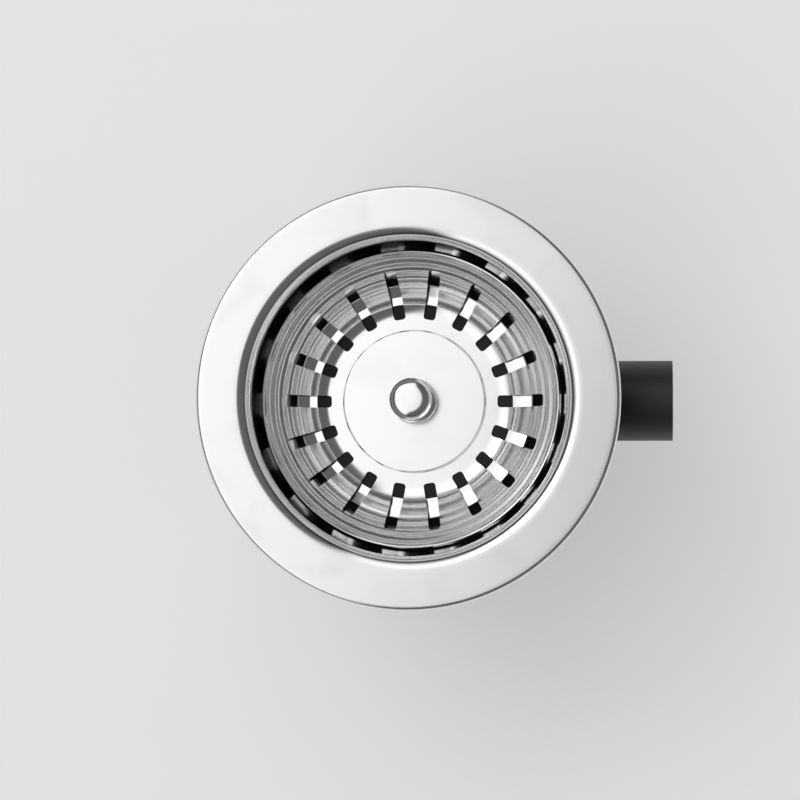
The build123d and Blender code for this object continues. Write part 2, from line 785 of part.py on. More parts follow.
# Cable gland: hollow threaded sleeve with a hexagon, through the side wall of the housing
with BuildPart() as cable_gland:
    with BuildSketch(facing_right(gland_inner_x - gland_nut_h, cable_y, cable_z)):
        Circle(gland_d / 2)
    extrude(amount=gland_nut_h + housing_wall + gland_hex_h + gland_reach)
    with BuildSketch(facing_right(gland_face_x, cable_y, cable_z)):
        RegularPolygon(gland_hex_width / 2, side_count=6, major_radius=False, rotation=30)
    extrude(amount=gland_hex_h)
    with BuildSketch(facing_right(gland_inner_x - gland_nut_h, cable_y, cable_z)):
        Circle(gland_bore_d / 2)
    extrude(amount=gland_nut_h + housing_wall + gland_hex_h + gland_reach, mode=Mode.SUBTRACT)

# Lock nut of the gland, inside the housing
with BuildPart() as gland_nut:
    with BuildSketch(facing_right(gland_inner_x, cable_y, cable_z)):
        RegularPolygon(gland_hex_width / 2, side_count=6, major_radius=False, rotation=30)
        Circle(gland_d / 2 + fit_gap, mode=Mode.SUBTRACT)
    extrude(amount=-gland_nut_h)

pieces = {
    "strainer_bowl": strainer_bowl,
    "flange_gasket": flange_gasket,
    "clamp_gasket": clamp_gasket,
    "strainer_basket": strainer_basket,
    "centre_plate": centre_plate,
    "pull_knob": pull_knob,
    "basket_seal": basket_seal,
    "seal_plate": seal_plate,
    "lift_stem": lift_stem,
    "lift_pin": lift_pin,
    "lift_pin_nut": lift_pin_nut,
    "clamp_screw": clamp_screw,
    "boss_insert": boss_insert,
    "waste_body": waste_body,
    "spindle": spindle,
    "lift_finger": lift_finger,
    "finger_pin": finger_pin,
    "spindle_bush": spindle_bush,
    "spindle_seals": spindle_seals,
    "crank_arm": crank_arm,
    "crank_screw": crank_screw,
    "actuator_housing": actuator_housing,
    "housing_nut": housing_nut,
    "actuator_cover": actuator_cover,
    "cover_screws": cover_screws,
    "cable_gland": cable_gland,
    "gland_nut": gland_nut,
}

os.makedirs("parts", exist_ok=True)
for name, piece in pieces.items():
    piece.part.label = name
    export_step(piece.part, f"parts/{name}.step")
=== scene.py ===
import json
import logging
from dataclasses import dataclass
from enum import Enum
from math import pi, radians
from typing import Sequence

import bmesh
import bpy
import numpy as np
from mathutils import Matrix, Vector


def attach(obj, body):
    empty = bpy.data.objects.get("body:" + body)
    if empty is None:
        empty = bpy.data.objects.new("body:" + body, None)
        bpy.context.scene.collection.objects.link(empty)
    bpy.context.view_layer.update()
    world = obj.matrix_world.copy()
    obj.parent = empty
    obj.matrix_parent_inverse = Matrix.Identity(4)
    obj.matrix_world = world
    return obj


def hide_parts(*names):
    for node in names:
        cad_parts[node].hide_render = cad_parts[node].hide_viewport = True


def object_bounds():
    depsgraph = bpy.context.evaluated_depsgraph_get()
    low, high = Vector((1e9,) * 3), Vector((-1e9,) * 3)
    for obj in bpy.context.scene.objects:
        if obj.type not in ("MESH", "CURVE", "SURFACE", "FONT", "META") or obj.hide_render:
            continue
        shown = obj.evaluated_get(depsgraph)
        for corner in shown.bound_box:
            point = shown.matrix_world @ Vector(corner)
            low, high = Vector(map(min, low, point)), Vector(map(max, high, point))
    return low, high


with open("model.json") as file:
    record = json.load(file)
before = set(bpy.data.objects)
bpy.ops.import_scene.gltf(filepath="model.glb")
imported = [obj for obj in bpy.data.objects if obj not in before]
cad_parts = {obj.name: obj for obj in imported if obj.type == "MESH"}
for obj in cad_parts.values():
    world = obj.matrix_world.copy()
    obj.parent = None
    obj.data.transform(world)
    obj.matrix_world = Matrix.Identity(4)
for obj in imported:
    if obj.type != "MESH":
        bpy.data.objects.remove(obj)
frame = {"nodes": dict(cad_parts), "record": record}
CAD_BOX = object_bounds()

MM = 0.001
MERGE = 1e-7
SHARP = radians(35)
log = logging.getLogger("sink_waste")


class Body(Enum):
    """Rigid bodies that detailed pieces ride on, by the names the joints use."""

    WASTE = "waste"
    BASKET = "basket"


class Slot(Enum):
    """Material slots of the record."""

    BOWL = "bowl_steel"
    BASKET = "basket_steel"
    KNOB = "knob_steel"
    HARDWARE = "hardware_steel"
    BRASS = "brass"
    PLASTIC = "black_plastic"
    RUBBER = "black_rubber"


class Side(Enum):
    """Side of a drawn path on which a sheet's thickness lies."""

    LEFT = 1.0
    RIGHT = -1.0


class Axis(Enum):
    """Direction that a thread runs in."""

    X = "x"
    Z = "z"


# Surfaces


def rounded_path(
    points: Sequence[tuple[float, float]],
    radii: Sequence[float],
    run_step: float,
    arc_step: float,
) -> np.ndarray:
    """Polyline in radius and height whose inner corners are tangent arcs.

    A corner of radius r that turns by t starts r * tan(t / 2) before its point, and its arc is the
    start point turned about a centre that lies r to the side the path turns to.

    Args:
        points: Corner points in millimetres.
        radii: One radius for each inner corner, in millimetres.
        run_step: Longest step along a straight run, in millimetres.
        arc_step: Longest step along an arc, in radians.

    Returns:
        Points along the path, one row each, in millimetres.
    """
    corners = np.asarray(points, float)
    ways = np.diff(corners, axis=0)
    ways /= np.linalg.norm(ways, axis=1, keepdims=True)
    pieces = []
    here = corners[0]
    for corner, radius, way_in, way_out in zip(corners[1:-1], radii, ways[:-1], ways[1:]):
        turn = np.arctan2(way_in[0] * way_out[1] - way_in[1] * way_out[0], way_in @ way_out)
        start = corner - way_in * radius * np.tan(abs(turn) / 2)
        centre = start + np.sign(turn) * radius * np.array([-way_in[1], way_in[0]])
        pieces.append(straight_run(here, start, run_step))
        angles = np.linspace(0, turn, max(2, int(np.ceil(abs(turn) / arc_step)) + 1))[:-1, None]
        spoke = start - centre
        across = np.array([-spoke[1], spoke[0]])
        pieces.append(centre + np.cos(angles) * spoke + np.sin(angles) * across)
        here = corner + way_out * radius * np.tan(abs(turn) / 2)
    pieces.append(straight_run(here, corners[-1], run_step))
    pieces.append(corners[-1:])
    return np.concatenate(pieces)


def straight_run(start: np.ndarray, end: np.ndarray, step: float) -> np.ndarray:
    """Even points from start up to, and without, end, at most step apart."""
    count = max(1, int(np.ceil(np.linalg.norm(end - start) / step)))
    return start + (end - start) * np.linspace(0, 1, count, endpoint=False)[:, None]


def left_normals(path: np.ndarray) -> np.ndarray:
    """Unit normals to the left of an open path, from the mean direction at each point."""
    along = np.gradient(path, axis=0)
    along /= np.linalg.norm(along, axis=1, keepdims=True)
    return np.stack([-along[:, 1], along[:, 0]], axis=1)


def sheet_section(path: np.ndarray, thickness: float, side: Side, edge_steps: int = 6) -> np.ndarray:
    """Closed section of a bent sheet: the path, its offset by the thickness, and half-round edges.

    Args:
        path: Face of the sheet in radius and height, in millimetres.
        thickness: Sheet thickness in millimetres.
        side: Side of the path on which the sheet lies.
        edge_steps: Steps around each half-round edge.

    Returns:
        Points around the section, not repeated at the end.
    """
    normals = left_normals(path) * side.value
    half = thickness / 2
    angles = np.linspace(0, pi, edge_steps + 1)[1:-1, None]
    ends = []
    for index, sign in ((-1, 1.0), (0, -1.0)):
        outward = np.array([normals[index, 1], -normals[index, 0]]) * side.value * sign
        middle = path[index] + normals[index] * half
        ends.append(middle - sign * normals[index] * half * np.cos(angles) + outward * half * np.sin(angles))
    return np.concatenate([path, ends[0], (path + normals * thickness)[::-1], ends[1]])


def lathe(section: np.ndarray, segments: int) -> tuple[np.ndarray, np.ndarray]:
    """Closed surface made by turning a closed section about the Z axis.

    Point (i, j) is section point i, (r, z), at angle 2 pi j / segments: (r cos, r sin, z).

    Args:
        section: Points around the section in radius and height, in millimetres.
        segments: Steps around the axis.

    Returns:
        Vertices in metres and quads that face outwards.
    """
    radius, height = section[:, :1], section[:, 1:]
    following = np.roll(section, -1, axis=0)
    area = np.sum(section[:, 0] * following[:, 1] - following[:, 0] * section[:, 1])
    angles = np.arange(segments) * 2 * pi / segments
    grid = np.stack(
        [radius * np.cos(angles), radius * np.sin(angles), np.broadcast_to(height, (len(section), segments))],
        axis=2,
    )
    index = np.arange(len(section) * segments).reshape(len(section), segments)
    down, turned = np.roll(index, -1, axis=0), np.roll(index, -1, axis=1)
    both = np.roll(down, -1, axis=1)
    quads = np.stack([index, turned, both, down] if area > 0 else [index, down, both, turned], axis=2)
    return grid.reshape(-1, 3) * MM, quads.reshape(-1, 4)


def mesh_object(name: str, vertices: np.ndarray, faces: list) -> bpy.types.Object:
    """Smooth-shaded mesh object at the origin, with doubled points merged.

    Args:
        name: Name of the piece.
        vertices: Points in metres.
        faces: Corner indices, one list for each face.

    Returns:
        The linked object.
    """
    mesh = bpy.data.meshes.new(name)
    mesh.from_pydata(vertices.tolist(), [], faces)
    work = bmesh.new()
    work.from_mesh(mesh)
    bmesh.ops.remove_doubles(work, verts=work.verts, dist=MERGE)
    work.to_mesh(mesh)
    work.free()
    smooth(mesh)
    item = bpy.data.objects.new(name, mesh)
    bpy.context.scene.collection.objects.link(item)
    return item


def smooth(mesh: bpy.types.Mesh) -> None:
    """Smooth shading that stops at sharp edges."""
    mesh.polygons.foreach_set("use_smooth", np.ones(len(mesh.polygons), bool))
    mesh.set_sharp_from_angle(angle=SHARP)
    mesh.update()


def prism(outline: np.ndarray, low: float, high: float) -> tuple[np.ndarray, list]:
    """Closed upright prism over a plan outline that runs anticlockwise.

    Args:
        outline: Plan points in millimetres.
        low: Height of the lower end in millimetres.
        high: Height of the upper end in millimetres.

    Returns:
        Vertices in metres and faces that point outwards.
    """
    count = len(outline)
    ring = np.arange(count)
    ahead = np.roll(ring, -1)
    points = np.concatenate([np.column_stack([outline, np.full(count, level)]) for level in (low, high)])
    sides = np.stack([ring, ahead, ahead + count, ring + count], axis=1).tolist()
    return points * MM, sides + [ring[::-1].tolist(), (ring + count).tolist()]


def rounded_rectangle(length: float, width: float, radius: float, steps: int = 6) -> np.ndarray:
    """Anticlockwise outline of a rectangle about the origin whose corners are quarter circles."""
    quarter = np.linspace(0, pi / 2, steps + 1)
    corners = []
    for turn, (side_x, side_y) in enumerate(((1, 1), (-1, 1), (-1, -1), (1, -1))):
        centre = np.array([side_x * (length / 2 - radius), side_y * (width / 2 - radius)])
        angles = quarter + turn * pi / 2
        corners.append(centre + radius * np.stack([np.cos(angles), np.sin(angles)], axis=1))
    return np.concatenate(corners)


def turned(outline: np.ndarray, angle: float) -> np.ndarray:
    """Plan outline turned about the Z axis by an angle in radians."""
    return outline @ np.array([[np.cos(angle), np.sin(angle)], [-np.sin(angle), np.cos(angle)]])


def cut_away(item: bpy.types.Object, outlines: Sequence[np.ndarray], low: float, high: float) -> None:
    """Cuts upright prisms out of a closed piece and keeps the result as its mesh.

    Args:
        item: Piece to cut.
        outlines: Plan outlines of the cuts in millimetres.
        low: Lower end of the cuts in millimetres.
        high: Upper end of the cuts in millimetres.
    """
    points, faces = [], []
    for outline in outlines:
        more, sides = prism(outline, low, high)
        offset = sum(len(block) for block in points)
        points.append(more)
        faces += [[corner + offset for corner in face] for face in sides]
    cutter = mesh_object(item.name + "_cut", np.concatenate(points), faces)
    step = item.modifiers.new("cut", "BOOLEAN")
    step.operation = "DIFFERENCE"
    step.solver = "EXACT"
    step.object = cutter
    cut = bpy.data.meshes.new_from_object(item.evaluated_get(bpy.context.evaluated_depsgraph_get()))
    item.modifiers.clear()
    item.data = cut
    smooth(cut)
    bpy.data.objects.remove(cutter)


def node_triangles(node: bpy.types.Object) -> tuple[np.ndarray, np.ndarray]:
    """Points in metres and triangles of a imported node's mesh."""
    mesh = node.data
    mesh.calc_loop_triangles()
    points = np.empty(len(mesh.vertices) * 3)
    corners = np.empty(len(mesh.loop_triangles) * 3, np.int32)
    mesh.vertices.foreach_get("co", points)
    mesh.loop_triangles.foreach_get("vertices", corners)
    return points.reshape(-1, 3), corners.reshape(-1, 3)


# Shader building


class Shader:
    """Short form for adding and linking nodes of one node tree."""

    def __init__(self, tree: bpy.types.NodeTree) -> None:
        """Keeps the tree that nodes are added to."""
        self.tree = tree

    def add(self, kind: str, inputs: dict | None = None, **settings) -> bpy.types.Node:
        """Adds a node.

        Args:
            kind: Blender's name for the node type.
            inputs: Socket name or number to a value, or to an output socket to link.
            **settings: Node properties, such as operation.

        Returns:
            The new node.
        """
        node = self.tree.nodes.new(kind)
        for key, value in settings.items():
            setattr(node, key, value)
        for key, value in (inputs or {}).items():
            if isinstance(value, bpy.types.NodeSocket):
                self.tree.links.new(value, node.inputs[key])
            else:
                node.inputs[key].default_value = value
        return node

    def math(self, operation: str, *values, clamp: bool = False) -> bpy.types.NodeSocket:
        """Output of a Math node fed with the given values or sockets in order."""
        inputs = dict(enumerate(values))
        return self.add("ShaderNodeMath", inputs, operation=operation, use_clamp=clamp).outputs[0]

    def remap(self, value, low: float, high: float, to_low: float, to_high: float) -> bpy.types.NodeSocket:
        """Value moved smoothly from one range to another and held at its ends."""
        inputs = {"Value": value, "From Min": low, "From Max": high, "To Min": to_low, "To Max": to_high}
        node = self.add("ShaderNodeMapRange", inputs, interpolation_type="SMOOTHSTEP")
        return node.outputs["Result"]

    def mix_colour(self, factor, first, second) -> bpy.types.NodeSocket:
        """Colour between first and second by a factor."""
        node = self.add("ShaderNodeMix", data_type="RGBA")
        for socket, value in ((node.inputs[0], factor), (node.inputs[6], first), (node.inputs[7], second)):
            if isinstance(value, bpy.types.NodeSocket):
                self.tree.links.new(value, socket)
            else:
                socket.default_value = value
        return node.outputs[2]


class EffectGroup:
    """Shader node groups that several finishes share, each built once."""

    _made: dict[str, bpy.types.NodeTree] = {}

    @classmethod
    def _start(
        cls, name: str, inputs: dict[str, str], outputs: dict[str, str]
    ) -> tuple[Shader, bpy.types.Node, bpy.types.Node]:
        """New group tree with its sockets.

        Args:
            name: Name of the group.
            inputs: Input socket name to socket type.
            outputs: Output socket name to socket type.

        Returns:
            The shader helper, the group's input node and its output node.
        """
        tree = bpy.data.node_groups.new(name, "ShaderNodeTree")
        for key, kind in inputs.items():
            tree.interface.new_socket(key, in_out="INPUT", socket_type=kind)
        for key, kind in outputs.items():
            tree.interface.new_socket(key, in_out="OUTPUT", socket_type=kind)
        cls._made[name] = tree
        shader = Shader(tree)
        return shader, shader.add("NodeGroupInput"), shader.add("NodeGroupOutput")

    @classmethod
    def turned_lines(cls) -> bpy.types.NodeTree:
        """Fine rings around the Z axis, as turning or circular brushing leaves them.

        Noise is read at (radius times lines per metre, direction around the axis), so that it changes
        fast outwards and slowly around.

        Returns:
            Group with Vector, Density and Length in, and Lines (0 to 1) out.
        """
        name = "turned_lines"
        if name in cls._made:
            return cls._made[name]
        shader, start, end = cls._start(
            name,
            {"Vector": "NodeSocketVector", "Density": "NodeSocketFloat", "Length": "NodeSocketFloat"},
            {"Lines": "NodeSocketFloat"},
        )
        parts = shader.add("ShaderNodeSeparateXYZ", {0: start.outputs["Vector"]}).outputs
        flat = shader.add("ShaderNodeCombineXYZ", {"X": parts["X"], "Y": parts["Y"]}).outputs[0]
        radius = shader.add("ShaderNodeVectorMath", {0: flat}, operation="LENGTH").outputs["Value"]
        way = shader.add("ShaderNodeVectorMath", {0: flat}, operation="NORMALIZE").outputs["Vector"]
        way_parts = shader.add("ShaderNodeSeparateXYZ", {0: way}).outputs
        reach = shader.math("ADD", radius, parts["Z"])
        place = shader.add(
            "ShaderNodeCombineXYZ",
            {
                "X": shader.math("MULTIPLY", reach, start.outputs["Density"]),
                "Y": shader.math("MULTIPLY", way_parts["X"], start.outputs["Length"]),
                "Z": shader.math("MULTIPLY", way_parts["Y"], start.outputs["Length"]),
            },
        ).outputs[0]
        noise = shader.add(
            "ShaderNodeTexNoise", {"Vector": place, "Scale": 1.0, "Detail": 3.0, "Roughness": 0.6}
        )
        shader.tree.links.new(noise.outputs[0], end.inputs["Lines"])
        return shader.tree

    @classmethod
    def handling(cls) -> bpy.types.NodeTree:
        """Soft smudges and water marks left by use.

        Returns:
            Group with Vector and Scale in, and Mask (0 to 1) out.
        """
        name = "handling"
        if name in cls._made:
            return cls._made[name]
        shader, start, end = cls._start(
            name, {"Vector": "NodeSocketVector", "Scale": "NodeSocketFloat"}, {"Mask": "NodeSocketFloat"}
        )
        vector, scale = start.outputs["Vector"], start.outputs["Scale"]
        noise = shader.add(
            "ShaderNodeTexNoise", {"Vector": vector, "Scale": scale, "Detail": 4.0, "Distortion": 0.6}
        )
        mask = shader.remap(noise.outputs[0], 0.45, 0.75, 0.0, 1.0)
        shader.tree.links.new(mask, end.inputs["Mask"])
        return shader.tree

    @classmethod
    def mould_grain(cls) -> bpy.types.NodeTree:
        """Fine pitted grain of a moulded or cured surface.

        Returns:
            Group with Vector and Scale in, and Height and Mottle (0 to 1) out.
        """
        name = "mould_grain"
        if name in cls._made:
            return cls._made[name]
        shader, start, end = cls._start(
            name,
            {"Vector": "NodeSocketVector", "Scale": "NodeSocketFloat"},
            {"Height": "NodeSocketFloat", "Mottle": "NodeSocketFloat"},
        )
        vector, scale = start.outputs["Vector"], start.outputs["Scale"]
        cells = shader.add("ShaderNodeTexVoronoi", {"Vector": vector, "Scale": scale}, feature="SMOOTH_F1")
        broad = shader.math("MULTIPLY", scale, 0.03)
        noise = shader.add("ShaderNodeTexNoise", {"Vector": vector, "Scale": broad, "Detail": 5.0})
        shader.tree.links.new(cells.outputs["Distance"], end.inputs["Height"])
        shader.tree.links.new(noise.outputs[0], end.inputs["Mottle"])
        return shader.tree


class Surface:
    """A new material, its Principled shader and its Object coordinates."""

    def __init__(self, name: str) -> None:
        """Makes the material under the given name."""
        self.material = bpy.data.materials.new(name)
        self.material.use_nodes = True
        self.shader = Shader(self.material.node_tree)
        self.socket = self.material.node_tree.nodes["Principled BSDF"].inputs
        self.place = self.shader.add("ShaderNodeTexCoord").outputs["Object"]

    def link(self, **outputs: bpy.types.NodeSocket) -> None:
        """Links outputs to the Principled sockets that are named with underscores."""
        for name, output in outputs.items():
            self.shader.tree.links.new(output, self.socket[name.replace("_", " ").title()])

    def group(self, tree: bpy.types.NodeTree, **values) -> dict[str, bpy.types.NodeSocket]:
        """Places a shared effect that reads the Object coordinates.

        Args:
            tree: Node group of the effect.
            **values: Its other inputs, by lower-case name.

        Returns:
            The effect's outputs.
        """
        node = self.shader.add("ShaderNodeGroup", node_tree=tree)
        self.shader.tree.links.new(self.place, node.inputs["Vector"])
        for name, value in values.items():
            node.inputs[name.title()].default_value = value
        return node.outputs

    def radius(self) -> bpy.types.NodeSocket:
        """Distance from the Z axis in metres."""
        parts = self.shader.add("ShaderNodeSeparateXYZ", {0: self.place}).outputs
        flat = self.shader.add("ShaderNodeCombineXYZ", {"X": parts["X"], "Y": parts["Y"]}).outputs[0]
        return self.shader.add("ShaderNodeVectorMath", {0: flat}, operation="LENGTH").outputs["Value"]


def shade(colour: Sequence[float], factor: float) -> tuple[float, float, float, float]:
    """Colour made lighter or darker by a factor, with full alpha."""
    return (*(channel * factor for channel in colour), 1.0)


# Finishes


@dataclass(frozen=True)
class Steel:
    """Stainless steel or brass with fine turned lines and faint marks of handling."""

    name: str
    colour: tuple[float, float, float]
    roughness: float
    line_density: float = 9000.0
    line_length: float = 1.2
    line_depth: float = 0.05
    line_roughness: float = 0.06
    line_bump: float = 0.00002
    smudge: float = 0.05
    smudge_scale: float = 60.0
    smudge_tint: float = 0.15
    smudge_shade: float = 0.86

    def rough_base(self, surface: Surface) -> float | bpy.types.NodeSocket:
        """Roughness before lines and marks."""
        return self.roughness

    def material(self) -> bpy.types.Material:
        """Material with lines in its roughness and normal, and marks in its roughness and colour."""
        surface = Surface(self.name)
        shader = surface.shader
        lines = surface.group(
            EffectGroup.turned_lines(), density=self.line_density, length=self.line_length
        )["Lines"]
        marks = surface.group(EffectGroup.handling(), scale=self.smudge_scale)["Mask"]
        rough = shader.math("MULTIPLY_ADD", lines, self.line_roughness, self.rough_base(surface))
        rough = shader.math("MULTIPLY_ADD", marks, self.smudge, rough)
        tint = shader.mix_colour(
            shader.math("MULTIPLY", marks, self.smudge_tint),
            shade(self.colour, 1.0),
            shade(self.colour, self.smudge_shade),
        )
        bump = shader.add(
            "ShaderNodeBump", {"Height": lines, "Strength": self.line_depth, "Distance": self.line_bump}
        )
        surface.link(base_color=tint, roughness=rough, normal=bump.outputs["Normal"])
        surface.socket["Metallic"].default_value = 1.0
        return surface.material


@dataclass(frozen=True)
class BowlSteel(Steel):
    """Steel that is satin on the flange and polished inside the mouth."""

    flange_roughness: float = 0.2
    mouth_r: float = 0.0432
    flange_r: float = 0.0462

    def rough_base(self, surface: Surface) -> bpy.types.NodeSocket:
        """Roughness that rises from the polished bowl to the satin flange."""
        return surface.shader.remap(
            surface.radius(), self.mouth_r, self.flange_r, self.roughness, self.flange_roughness
        )


@dataclass(frozen=True)
class Moulded:
    """Black moulded plastic or cured rubber with a fine grain."""

    name: str
    colour: tuple[float, float, float]
    roughness: float
    grain_scale: float
    grain_depth: float
    grain_bump: float = 0.00005
    mottle_shades: tuple[float, float] = (0.8, 1.3)
    mottle_roughness: float = 0.16

    def material(self) -> bpy.types.Material:
        """Material with grain in its normal and mottling in its colour and roughness."""
        surface = Surface(self.name)
        shader = surface.shader
        grain = surface.group(EffectGroup.mould_grain(), scale=self.grain_scale)
        dark, light = (shade(self.colour, factor) for factor in self.mottle_shades)
        tint = shader.mix_colour(grain["Mottle"], dark, light)
        base = self.roughness - self.mottle_roughness / 2
        rough = shader.math("MULTIPLY_ADD", grain["Mottle"], self.mottle_roughness, base)
        bump = shader.add(
            "ShaderNodeBump",
            {"Height": grain["Height"], "Strength": self.grain_depth, "Distance": self.grain_bump},
        )
        surface.link(base_color=tint, roughness=rough, normal=bump.outputs["Normal"])
        return surface.material


class FinishRack:
    """The materials of the record's slots, made once."""

    def __init__(self) -> None:
        """Makes one material for each slot."""
        steel = (0.9, 0.9, 0.9)
        finishes = {
            Slot.BOWL: BowlSteel(
                "satin_and_polished_steel", steel, 0.05, line_depth=0.01, line_roughness=0.03, smudge=0.03
            ),
            Slot.BASKET: Steel(
                "polished_sheet_steel", steel, 0.13, line_depth=0.004, line_roughness=0.02, smudge=0.02
            ),
            Slot.KNOB: Steel("polished_turned_steel", steel, 0.1, line_depth=0.02, line_roughness=0.03),
            Slot.HARDWARE: Steel("plain_turned_steel", (0.62, 0.62, 0.63), 0.28),
            Slot.BRASS: Steel("plain_turned_brass", (0.72, 0.52, 0.24), 0.26),
            Slot.PLASTIC: Moulded("black_moulded_plastic", (0.025, 0.025, 0.027), 0.45, 2600.0, 0.25),
            Slot.RUBBER: Moulded("black_cured_rubber", (0.014, 0.014, 0.014), 0.75, 1800.0, 0.35),
        }
        self._materials = {slot: finish.material() for slot, finish in finishes.items()}
        self._slots = {part["node"]: Slot(part["material_slot"]) for part in frame["record"]["subparts"]}

    def dress(self, *nodes: str) -> None:
        """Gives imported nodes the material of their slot."""
        for node in nodes:
            mesh = frame["nodes"][node].data
            mesh.materials.clear()
            mesh.materials.append(self._materials[self._slots[node]])
            log.info("%s: packed solid, %s", node, self._slots[node].value)

    def stand_in(self, item: bpy.types.Object, node: str, body: Body) -> None:
        """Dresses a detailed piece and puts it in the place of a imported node.

        Args:
            item: Detailed piece.
            node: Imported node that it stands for.
            body: Body that it moves with.
        """
        slot = self._slots[node]
        item.data.materials.clear()
        item.data.materials.append(self._materials[slot])
        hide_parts(node)
        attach(item, body.value)
        log.info("%s: detailed piece of %d faces, %s", item.name, len(item.data.polygons), slot.value)


# Studio


@dataclass(frozen=True)
class Studio:
    """Pale floor, soft light from above and the camera that looks into the bowl."""

    floor_half: float = 1.2
    floor_colour: tuple[float, float, float] = (0.88, 0.88, 0.88)
    floor_glow: float = 0.4
    floor_roughness: float = 0.9
    floor_mottle: float = 0.97
    floor_mottle_scale: float = 9.0
    dim_way: tuple[float, float, float] = (0.95, -0.3, 0.0)
    dim_level: float = 0.12
    bright_level: float = 1.16
    dim_band: tuple[float, float] = (-0.065, 0.05)
    wall_level: float = 0.05
    wall_band: tuple[float, float] = (0.3, 0.85)
    wall_lean: float = 0.25
    horizon_level: float = 0.55
    horizon_band: tuple[float, float] = (0.1, 0.36)
    lamp_power: float = 2.0
    lamp_size: float = 0.7
    lamp_place: tuple[float, float, float] = (-0.6, 0.5, 1.0)
    camera_offset: tuple[float, float] = (0.057, -0.033)
    camera_height: float = 1.0
    aim: tuple[float, float, float] = (-0.002, -0.0007, 0.0025)
    view_width: float = 0.2136

    def build(self) -> None:
        """Makes the floor, the world, the lamps and the camera."""
        self._floor()
        self._world()
        self._lamps()
        self._camera()

    def _floor(self) -> None:
        """Pale floor under the outlet end, clear when it is seen from below."""
        half, low = self.floor_half, CAD_BOX[0][2]
        corners = np.array([[-half, -half, low], [half, -half, low], [half, half, low], [-half, half, low]])
        floor = mesh_object("floor", corners, [[0, 1, 2, 3]])
        surface = Surface("floor_paint")
        shader = surface.shader
        noise = shader.add(
            "ShaderNodeTexNoise", {"Vector": surface.place, "Scale": self.floor_mottle_scale, "Detail": 3.0}
        )
        tint = shader.mix_colour(
            noise.outputs[0], shade(self.floor_colour, 1.0), shade(self.floor_colour, self.floor_mottle)
        )
        rays = shader.add("ShaderNodeLightPath").outputs
        seen = shader.math("MAXIMUM", rays["Is Camera Ray"], rays["Is Glossy Ray"])
        seen = shader.math("MAXIMUM", seen, rays["Is Transmission Ray"])
        glow = shader.math("MULTIPLY", seen, self.floor_glow)
        upper = shader.math("SUBTRACT", 1.0, shader.add("ShaderNodeNewGeometry").outputs["Backfacing"])
        surface.link(base_color=tint, emission_color=tint, emission_strength=glow, alpha=upper)
        surface.socket["Roughness"].default_value = self.floor_roughness
        floor.data.materials.append(surface.material)

    def _world(self) -> None:
        """Bright overhead, dim past the zenith on one side, dark walls and a pale strip at the horizon."""
        world = bpy.data.worlds.new("studio")
        world.use_nodes = True
        bpy.context.scene.world = world
        shader = Shader(world.node_tree)
        way = shader.add("ShaderNodeTexCoord").outputs["Generated"]
        height = shader.add("ShaderNodeSeparateXYZ", {0: way}).outputs["Z"]
        side = shader.add(
            "ShaderNodeVectorMath", {0: way, 1: self.dim_way}, operation="DOT_PRODUCT"
        ).outputs["Value"]
        slant = shader.math("MULTIPLY_ADD", side, self.wall_lean, height)
        rise = shader.remap(slant, *self.wall_band, self.wall_level, 1.0)
        lean = shader.remap(side, *self.dim_band, self.bright_level, self.dim_level)
        strip = shader.remap(height, *self.horizon_band, self.horizon_level, 0.0)
        level = shader.math("MULTIPLY_ADD", rise, lean, strip)
        back = world.node_tree.nodes["Background"]
        tint = shader.add("ShaderNodeCombineColor", {"Red": level, "Green": level, "Blue": level}).outputs[0]
        shader.tree.links.new(tint, back.inputs["Color"])
        back.inputs["Strength"].default_value = 1.0

    def _lamps(self) -> None:
        """One broad lamp above, on the left of the picture, turned to the origin."""
        lamp = bpy.data.lights.new("soft_box", "AREA")
        lamp.shape = "DISK"
        lamp.size = self.lamp_size
        lamp.energy = self.lamp_power
        item = bpy.data.objects.new("soft_box", lamp)
        item.location = self.lamp_place
        item.rotation_euler = (-item.location).to_track_quat("-Z", "Y").to_euler()
        bpy.context.scene.collection.objects.link(item)

    def _camera(self) -> None:
        """Camera almost straight above, with +Y up in the picture."""
        camera = bpy.data.cameras.new("camera")
        item = bpy.data.objects.new("camera", camera)
        aim = Vector(self.aim)
        eye = Vector((*self.camera_offset, self.camera_height))
        gaze = aim - eye
        back = -gaze.normalized()
        right = Vector((0, 1, 0)).cross(back).normalized()
        item.matrix_world = Matrix((right, back.cross(right), back)).transposed().to_4x4()
        item.location = eye
        camera.angle = 2 * np.arctan(self.view_width / 2 / gaze.length)
        bpy.context.scene.collection.objects.link(item)
        bpy.context.scene.camera = item


# The waste


